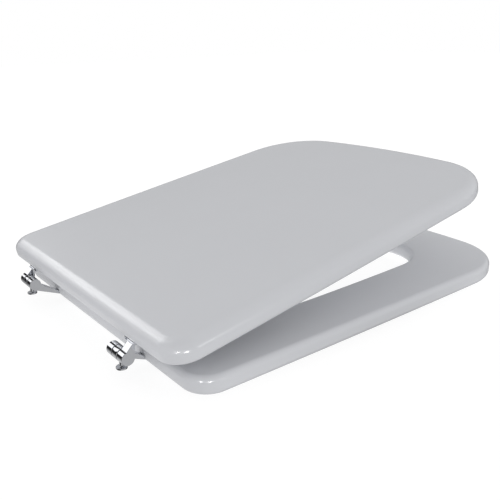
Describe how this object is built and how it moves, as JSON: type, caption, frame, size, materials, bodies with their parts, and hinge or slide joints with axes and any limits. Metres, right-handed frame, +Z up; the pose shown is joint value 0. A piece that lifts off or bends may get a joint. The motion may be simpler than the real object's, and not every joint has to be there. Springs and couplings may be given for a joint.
{
  "type": "toilet seat",
  "caption": "Squared moulded-wood toilet seat: thick rounded lid over an open ring, on chrome barrel hinges that share one axis and stand on spigots for the pan's fixings.",
  "frame": {"origin": "middle of the seat's outline on the plane of the pan's rim, where the ring's buffers stand; halfway between the front of the ring and the back of the hinge barrels", "axes": "+X to the right as the seat is seen from its front, +Y from the front towards the hinges, +Z up"},
  "size_m": [0.386, 0.5014, 0.1353],
  "materials": {
    "lacquer": "moulded wood under a smooth gloss light grey lacquer",
    "chrome": "polished chrome plate",
    "steel": "plain bright steel",
    "nylon": "natural nylon",
    "rubber": "soft white buffer rubber"
  },
  "bodies": {
    "hinge_posts": {"hinge_post_left": "chrome", "hinge_post_right": "chrome", "hinge_pin_left": "steel", "hinge_pin_right": "steel"},
    "seat": {"seat_ring": "lacquer", "seat_arm_left": "chrome", "seat_arm_right": "chrome", "seat_bush_left": "nylon", "seat_bush_right": "nylon", "seat_screws_left": "steel", "seat_screws_right": "steel", "seat_buffer_front_left": "rubber", "seat_buffer_front_right": "rubber", "seat_buffer_side_left": "rubber", "seat_buffer_side_right": "rubber"},
    "lid": {"lid": "lacquer", "lid_arm_left": "chrome", "lid_arm_right": "chrome", "lid_bush_left": "nylon", "lid_bush_right": "nylon", "lid_screws_left": "steel", "lid_screws_right": "steel", "lid_buffer_front_left": "rubber", "lid_buffer_front_right": "rubber", "lid_buffer_side_left": "rubber", "lid_buffer_side_right": "rubber"}
  },
  "joints": [
    {"name": "seat_hinge", "type": "hinge", "parent": "hinge_posts", "child": "seat", "pos_m": [0, 0.24447, 0.028], "axis": [-1, 0, 0], "range_deg": [0, 95]},
    {"name": "lid_hinge", "type": "hinge", "parent": "seat", "child": "lid", "pos_m": [0, 0.24447, 0.028], "axis": [-1, 0, 0], "range_deg": [-9.9, 85.1]}
  ]
}
